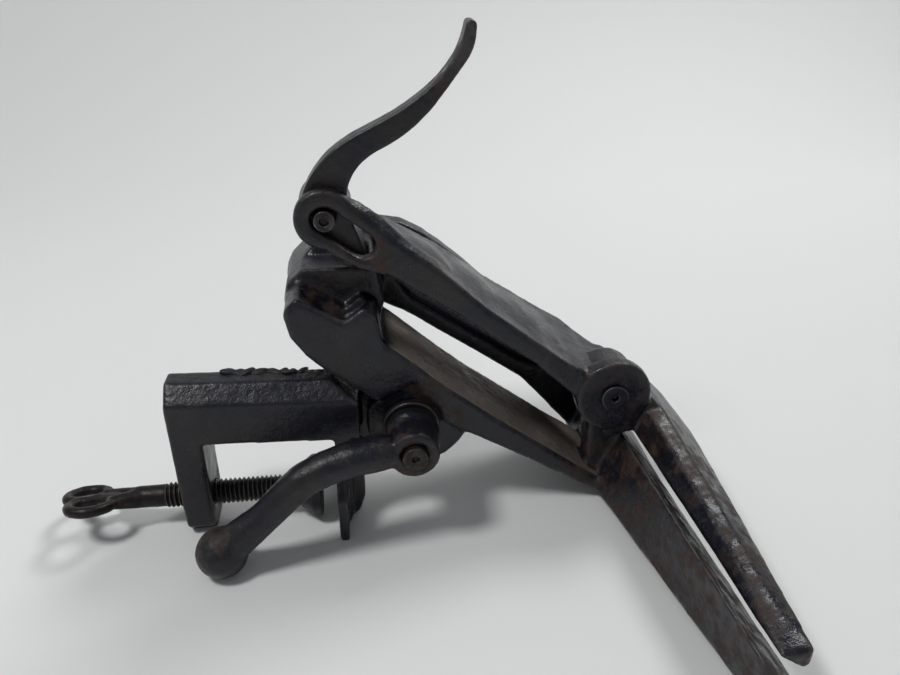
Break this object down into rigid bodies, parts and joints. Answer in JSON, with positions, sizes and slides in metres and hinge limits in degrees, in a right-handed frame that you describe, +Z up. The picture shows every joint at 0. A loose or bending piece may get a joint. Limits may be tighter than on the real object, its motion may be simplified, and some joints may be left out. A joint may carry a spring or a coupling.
{
  "type": "bench vise with cantilever jaws",
  "caption": "Antique cast-iron bench-clamp saw and sheet-metal vise: screw clamp, tilting lower jaw casting, hinged upper jaw closed by an S-curved lever.",
  "frame": {"origin": "middle of the whole object's footprint, on the surface that it stands on", "axes": "+X along the clamp screw towards the jaws, +Z up as the vise stands on a table, -Y along the jaws towards their tips"},
  "size_m": [0.301, 0.189, 0.2211],
  "materials": {
    "clamp_iron": "black japanned cast iron, semi-gloss and chipped",
    "bracket_iron": "black japanned cast iron with a bare planed strip and rust",
    "jaw_iron": "black japanned cast iron, rusty at the jaw",
    "lever_iron": "black cast iron worn grey on the grip",
    "lock_iron": "dark cast iron with a rusty ball",
    "screw_steel": "oxidised dark steel thread",
    "pin_steel": "dark riveted steel"
  },
  "bodies": {
    "clamp": {"clamp_frame": "clamp_iron", "tilt_bolt": "pin_steel", "tilt_washer": "pin_steel"},
    "pad": {"swivel_pad": "clamp_iron"},
    "screw": {"thumb_screw": "screw_steel"},
    "lock": {"lock_lever": "lock_iron"},
    "bracket": {"jaw_bracket": "bracket_iron", "jaw_pin": "pin_steel"},
    "upper_jaw": {"moving_jaw": "jaw_iron"},
    "slot_pin": {"cam_pin": "pin_steel"},
    "lever": {"cam_lever": "lever_iron"}
  },
  "joints": [
    {"name": "screw_travel", "type": "slide", "parent": "clamp", "child": "pad", "axis": [1, 0, 0], "range_m": [-0.0315, 0.0075]},
    {"name": "screw_turn", "type": "hinge", "parent": "pad", "child": "screw", "pos_m": [-0.0355, 0.042, 0.0148], "axis": [1, 0, 0], "range_deg": [-5401, 1286]},
    {"name": "lock_turn", "type": "hinge", "parent": "clamp", "child": "lock", "pos_m": [0.0135, 0.012, 0.0507], "axis": [0, 1, 0], "range_deg": [0, 120]},
    {"name": "bracket_tilt", "type": "hinge", "parent": "clamp", "child": "bracket", "pos_m": [0.0135, 0.042, 0.0507], "axis": [0, 1, 0], "range_deg": [-3, 75]},
    {"name": "jaw_close", "type": "hinge", "parent": "bracket", "child": "upper_jaw", "pos_m": [0.107, 0.042, 0.06], "axis": [0, 1, 0], "range_deg": [0, 3.7]},
    {"name": "pin_slide", "type": "slide", "parent": "upper_jaw", "child": "slot_pin", "axis": [0.7912, 0, -0.6115], "range_m": [0, 0.01092]},
    {"name": "lever_swing", "type": "hinge", "parent": "slot_pin", "child": "lever", "pos_m": [-0.0185, 0.042, 0.1487], "axis": [0, 1, 0], "range_deg": [0, 44]}
  ],
  "couplings": [
    {"joint": "screw_turn", "follows": "screw_travel", "rad_per_m": 2992},
    {"joint": "jaw_close", "follows": "lever_swing", "ratio": 0.084},
    {"joint": "pin_slide", "follows": "lever_swing", "m_per_rad": 0.014209}
  ]
}
